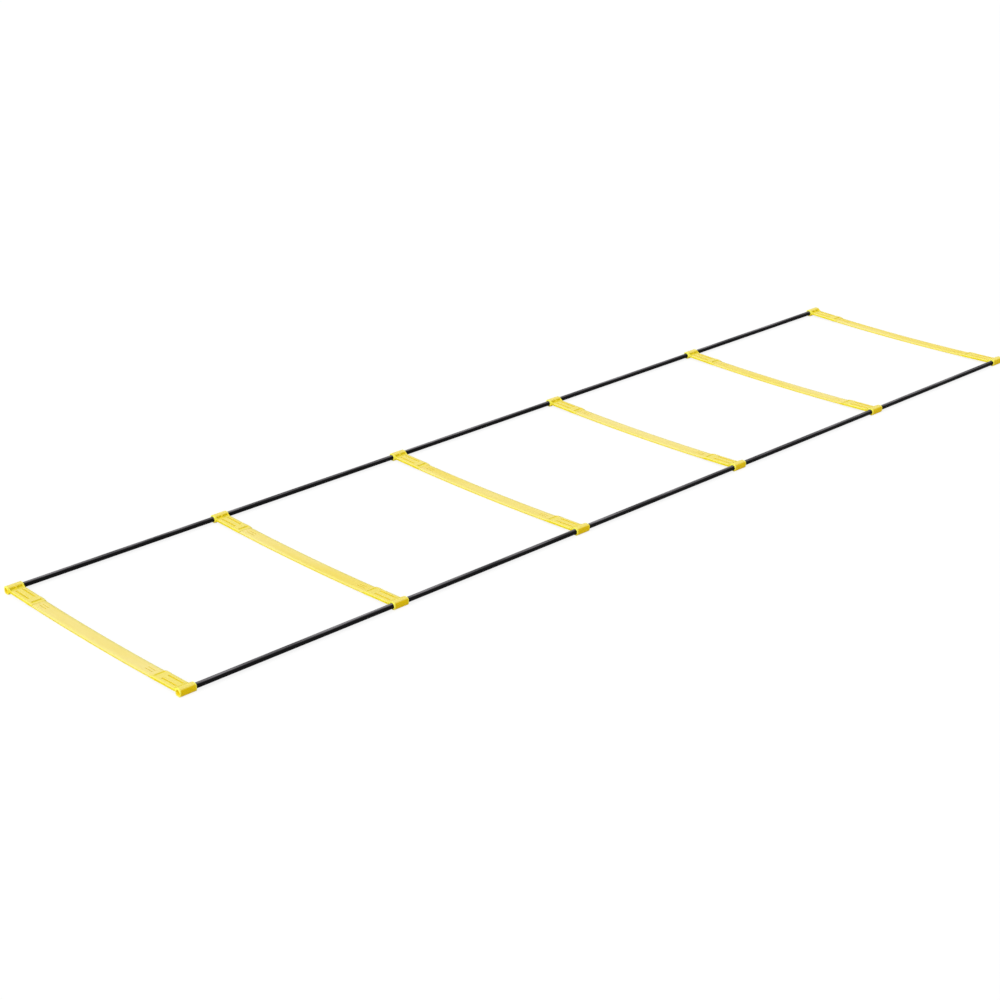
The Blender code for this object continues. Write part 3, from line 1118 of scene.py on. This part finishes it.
@dataclass(frozen=True)
class RungStrap:
    """The flexible strap of a rung, with a ribbed tenon at each end that catches in its clip.

    It is modelled straight along Y, and then hung between the clips. Pin mark shares are parts of the open
    half, and the groove's margin, half and depths, which say what lies in a groove, parts of its sizes.
    """

    clip: EndClip
    width: float = 0.0280
    thickness: float = 0.0030
    bevel_width: float = 0.0036
    bevel_depth: float = 0.0012
    tenon_thickness: float = 0.0013
    rib_gap: float = 0.00012
    rib_depth: float = 0.0007
    mark_start: float = 0.0080
    mark_length: float = 0.0195
    mark_width: float = 0.0012
    mark_depth: float = 0.0008
    mark_offset: float = 0.0028
    pin_mark: PinMark = PinMark(radius=0.0021)
    pin_mark_shares: tuple[float, ...] = (-0.8, -0.4, 0.0, 0.4, 0.8)
    edge_softening: float = 0.00022
    shoulder_gap: float = 0.00005
    edge_line: float = 0.0012
    # The band of painted highlight and wear along each long side, and the share of painted shade in grooves
    # and on the sides.
    wear_and_highlight_reach: float = 0.0056
    edge_wear_and_highlight: float = 0.45
    groove_margin: float = 1.05
    groove_half: float = 0.55
    groove_depths: tuple[float, ...] = (0.4, 1.4)
    groove_shade: float = 0.84
    span_steps: int = 60

    @property
    def start(self) -> float:
        """Where the open strap starts, along the tongue from the rods' axis."""
        return self.clip.tongue_reach + self.clip.layout.fit_gap

    @property
    def lip(self) -> Matrix:
        """The place of the right clip's lip on the rung, where the open strap starts."""
        clip_place = Matrix.Translation((0.0, -self.clip.layout.rail_spacing / 2, 0.0))
        return clip_place @ self.clip.tongue_frame @ Matrix.Translation((0.0, self.start, 0.0))

    @property
    def half_length(self) -> float:
        """The distance from the rods' axis to the middle, along the strap."""
        return self.start - self.lip.translation.y

    def station(self, distance: float) -> Matrix:
        """Find the place of the hanging strap's section.

        Args:
            distance: How far the section is from the rods' axis, along the strap.

        Returns:
            The section's axes on the rung, on its right half.
        """
        lip, run = self.lip, distance - self.start
        if run <= 0.0:
            return lip @ Matrix.Translation((0.0, run, 0.0))
        share = run / -lip.translation.y
        fall = self.clip.droop * run * (1 - share / 2)
        lean = Matrix.Rotation(-math.atan(self.clip.droop * (1 - share)), 4, "X")
        return Matrix.Translation((0.0, lip.translation.y + run, lip.translation.z - fall)) @ lean

    def hang(self, shape: BMesh) -> None:
        """Move every point of the straight strap to its place on the hanging one.

        Args:
            shape: The strap.
        """
        for vert in shape.verts:
            along = vert.co.y
            place = self.station(self.half_length - abs(along)) @ Vector((vert.co.x, 0.0, vert.co.z))
            vert.co = (place.x, math.copysign(place.y, along), place.z)

    def tenon(self, end: int) -> list[BMesh]:
        """Shape a tenon and its ribs.

        Args:
            end: 1 for the tenon on the +Y end, and -1 for the other.

        Returns:
            Each bar as a new bmesh.
        """
        gap, slack = self.clip.layout.fit_gap, self.rib_gap
        low = self.clip.pocket_floor + gap
        top = low + self.tenon_thickness
        tip = self.half_length - self.clip.pocket_start - gap
        overlap = self.half_length - self.start - CUT_OVERRUN
        half = self.clip.pocket_width / 2 - gap
        shapes = [box_shape((-half, overlap, low), (half, tip, top))]
        for near, far in self.clip.slots():
            start, stop = self.half_length - far.y + slack, self.half_length - near.y - slack
            crest = self.clip.tongue_thickness + self.clip.swelling(near.y)[1] - self.rib_depth
            corner = (near.x + slack, start, top - self.tenon_thickness / 2)
            shapes.append(box_shape(corner, (far.x - slack, stop, crest)))
        half_turn = Matrix.Rotation(0.0 if end > 0 else math.pi, 3, "Z")
        for shape in shapes:
            bmesh.ops.rotate(shape, cent=(0.0, 0.0, 0.0), matrix=half_turn, verts=shape.verts)
        return shapes

    def marks(self) -> list[BMesh]:
        """Shape the cuts of the grooves in the top near each end, and of the pin marks below.

        Returns:
            Each cut as a new bmesh.
        """
        cuts = []
        half_width, half_length = self.mark_width / 2, self.mark_length / 2
        for end in (-1, 1):
            for centre in (-self.mark_offset, self.mark_offset):
                middle = end * (self.half_length - self.start - self.mark_start - half_length)
                low = (centre - half_width, middle - half_length, self.thickness - self.mark_depth)
                high = (centre + half_width, middle + half_length, self.thickness + CUT_OVERRUN)
                cuts.append(box_shape(low, high))
        open_half = self.half_length - self.start
        return cuts + [self.pin_mark.plug(share * open_half) for share in self.pin_mark_shares]

    def mesh(self, material: Material) -> Mesh:
        """Build the strap.

        Args:
            material: Its finish.

        Returns:
            The strap's mesh on the rung, with the rods' axes at Z = 0.
        """
        open_half = self.half_length - self.clip.tongue_reach - self.shoulder_gap
        bevel, span = (self.bevel_width, self.bevel_depth), (-open_half, open_half)
        strip = bevelled_strip(self.width, self.thickness, bevel, span)
        shape = combined(strip, self.tenon(-1) + self.tenon(1), self.marks())
        soften(shape, self.edge_softening)
        steps = range(1, self.span_steps)
        slice_across(shape, Axis.Y, [open_half * (2 * step / self.span_steps - 1) for step in steps])
        line, reach = self.width / 2 - self.edge_line, self.width / 2 - self.wear_and_highlight_reach
        slice_across(shape, Axis.X, (-line, -reach, reach, line))
        # Mark the painted highlight and wear, and the painted shade, on each vertex.
        mark_surface(shape, self.wear_and_highlight_share, self.painted_shade)
        self.hang(shape)
        shape.normal_update()
        return finished_mesh(shape, material)

    def wear_and_highlight_share(self, place: Vector) -> float:
        """How much painted highlight and wear a place gets: a band along each long side, less at its very
        edge.

        Args:
            place: The place on the straight strap.

        Returns:
            The share, from 0 to 1.
        """
        inward = self.width / 2 - abs(place.x)
        if place.z < self.edge_softening / 4 or inward > self.wear_and_highlight_reach * NEARLY:
            return 0.0
        return 1.0 - inward / self.wear_and_highlight_reach / 2 if inward > self.edge_line / 2 else self.edge_wear_and_highlight

    def painted_shade(self, place: Vector) -> float:
        """How much painted shade a place gets: on a tenon, in a groove near the ends, or on a side.

        Args:
            place: The place on the straight strap.

        Returns:
            The share, from 0 to 1.
        """
        along = self.half_length - self.start - abs(place.y)
        if along < -self.shoulder_gap / 2 - self.clip.layout.fit_gap:
            return 1.0
        shallow, deep = (self.mark_depth * share for share in self.groove_depths)
        in_groove = (
            self.mark_start * NEARLY < along < (self.mark_start + self.mark_length) * self.groove_margin
            and abs(abs(place.x) - self.mark_offset) < self.mark_width * self.groove_half
            and shallow < self.thickness - place.z < deep
        )
        on_side = abs(place.x) > (self.width - self.edge_line) / 2 and place.z > self.edge_softening / 4
        return self.groove_shade if in_groove or on_side else 0.0


@dataclass(frozen=True)
class SideRod:
    """A straight round rod between two rungs, rounded at its ends and rubbed where it has been pushed in."""

    diameter: float = 0.0095
    length: float = 0.417
    end_radius: float = 0.0008
    end_steps: int = 4
    sides: int = 48
    push_depth: float = 0.0140
    rub_fade: tuple[float, float] = (0.85, 1.1)

    def mesh(self, material: Material) -> Mesh:
        """Build the rod.

        Args:
            material: Its finish.

        Returns:
            The rod's mesh along X, with its middle on zero.
        """
        half, radius, bend = self.length / 2, self.diameter / 2, self.end_radius
        right = [(half, 0.0)]
        for step in range(self.end_steps + 1):
            turn = step * math.pi / 2 / self.end_steps
            right.append((half - bend * (1 - math.cos(turn)), radius - bend * (1 - math.sin(turn))))
        right += [(half - self.push_depth * share, radius) for share in self.rub_fade]
        shape = spun_shape(right + [(-x, height) for x, height in reversed(right)], self.sides)
        mark_surface(shape, lambda place: float(abs(place.x) > half - self.push_depth), lambda place: 0.0)
        return finished_mesh(shape, material)


@dataclass(frozen=True)
class Ladder:
    """The whole agility ladder."""

    clip: EndClip = field(default_factory=EndClip)
    rod: SideRod = field(default_factory=SideRod)

    def build(self, effects: Effects) -> None:
        """Build every kind of piece, place each rung with its strap and clips, and then the rods of each bay.

        Args:
            effects: The effects that the finishes share.
        """
        layout = self.clip.layout
        clip = self.clip.mesh(CLIP_PLASTIC.material(effects))
        strap = RungStrap(self.clip).mesh(STRAP_PLASTIC.material(effects))
        rod = self.rod.mesh(ROD_PLASTIC.material(effects))
        for number in range(1, layout.rung_count + 1):
            body = f"rung_{number}"
            on_rung = Matrix.Translation((layout.rung_x(number), 0.0, layout.axis_height))
            place_piece(f"rung_strap_{number}", strap, on_rung, body, f"strap_{number}")
            for side in Side:
                turn = Matrix.Rotation(math.pi if side is Side.LEFT else 0.0, 4, "Z")
                place = on_rung @ Matrix.Translation((0.0, layout.rail_y(side), 0.0)) @ turn
                name, node = f"end_clip_{side.value}_{number}", f"{side.value}_clip_{number}"
                place_piece(name, clip, place, body, node)
        for number in range(1, layout.rung_count):
            middle = (layout.rung_x(number) + layout.rung_x(number + 1)) / 2
            for side in Side:
                place = Matrix.Translation((middle, layout.rail_y(side), layout.axis_height))
                name, node = f"side_rod_{side.value}_{number}", f"{side.value}_rod_{number}"
                place_piece(name, rod, place, node, node)
        for mesh in (clip, strap, rod):
            bpy.data.meshes.remove(mesh)


@dataclass(frozen=True)
class SoftLamp:
    """A wide far lamp, which lights the whole ladder evenly from its azimuth and elevation."""

    name: str
    azimuth: float
    elevation: float
    strength: float
    spread: float

    def hang(self) -> None:
        """Put the lamp into the scene."""
        lamp = bpy.data.lights.new(self.name, "SUN")
        lamp.energy, lamp.angle = self.strength, math.radians(self.spread)
        item = add_object(self.name, lamp)
        item.rotation_mode = "QUATERNION"
        item.rotation_quaternion = direction(self.azimuth, self.elevation).to_track_quat("Z", "Y")


@dataclass(frozen=True)
class PhotoCamera:
    """The camera where the photograph was taken, fitted to the rods and blocks in it."""

    azimuth: float = -42.4776
    elevation: float = 23.0348
    roll: float = -1.0697
    distance: float = 3.8576
    slide_right: float = -0.12667
    slide_up: float = -0.07581
    aim_height: float = 0.007
    lens: float = 72.622
    sensor: float = 36.0
    nearest: float = 0.05
    farthest: float = 200.0

    def set_up(self) -> None:
        """Make the camera and give it to the scene."""
        forward = -direction(self.azimuth, self.elevation)
        level = forward.cross(Vector((0.0, 0.0, 1.0))).normalized()
        axes = Matrix((level, level.cross(forward), -forward)).transposed()
        axes = axes @ Matrix.Rotation(math.radians(self.roll), 3, "Z")
        aim = Vector((0.0, 0.0, self.aim_height))
        place = aim - forward * self.distance + axes @ Vector((self.slide_right, self.slide_up, 0.0))
        data = bpy.data.cameras.new("photo camera")
        data.sensor_width, data.lens = self.sensor, self.lens
        data.clip_start, data.clip_end = self.nearest, self.farthest
        camera = add_object("photo camera", data)
        camera.matrix_world = Matrix.Translation(place) @ axes.to_4x4()
        bpy.context.scene.camera = camera


@dataclass(frozen=True)
class Studio:
    """The plain pale studio: a white floor, a soft sky and two wide lamps."""

    floor_size: float = 60.0
    floor_tone: float = 0.80
    floor_glow: float = 0.86
    floor_shade: float = 0.16
    sky: float = 0.48
    lamps: tuple[SoftLamp, ...] = (
        SoftLamp("left softbox", azimuth=-80.0, elevation=32.0, strength=1.60, spread=50.0),
        SoftLamp("ceiling softbox", azimuth=180.0, elevation=75.0, strength=0.75, spread=80.0),
    )

    def build(self) -> None:
        """Set up the floor, the sky, the lamps and the camera."""
        self.lay_floor()
        self.light_sky()
        for lamp in self.lamps:
            lamp.hang()
        PhotoCamera().set_up()

    def lay_floor(self) -> None:
        """Make the floor: white where it is seen, with a faint shadow, and pale for the light it returns."""
        material = bpy.data.materials.new("studio floor")
        material.use_nodes = True
        sheet = Wiring(material.node_tree)
        seen = sheet.seen()
        tone = sheet.ramp(seen, 0.0, 1.0, self.floor_tone, self.floor_shade)
        surface = {
            "Base Color": sheet.add("ShaderNodeCombineColor", {0: tone, 1: tone, 2: tone}).outputs[0],
            "Roughness": 1.0,
            "Specular IOR Level": 0.0,
            "Emission Color": WHITE,
            "Emission Strength": sheet.maths("MULTIPLY", seen, self.floor_glow),
        }
        sheet.feed(material.node_tree.nodes["Principled BSDF"], surface)
        shape = bmesh.new()
        bmesh.ops.create_grid(shape, x_segments=1, y_segments=1, size=self.floor_size / 2)
        floor = add_object("studio_floor", mesh_of("studio_floor", shape))
        floor.data.materials.append(material)

    def light_sky(self) -> None:
        """Make the world: white behind the floor, and an even soft light."""
        world = bpy.data.worlds.new("studio sky")
        world.use_nodes = True
        bpy.context.scene.world = world
        sheet = Wiring(world.node_tree)
        strength = sheet.ramp(sheet.seen(), 0.0, 1.0, self.sky, 1.0)
        sheet.feed(world.node_tree.nodes["Background"], {"Color": WHITE, "Strength": strength})


def main() -> None:
    """Build the ladder and its studio."""
    logging.basicConfig(level=logging.INFO, format="%(message)s")
    Ladder().build(Effects())
    Studio().build()
    bpy.context.scene.view_settings.view_transform = "Standard"


if __name__ == "__main__":
    main()
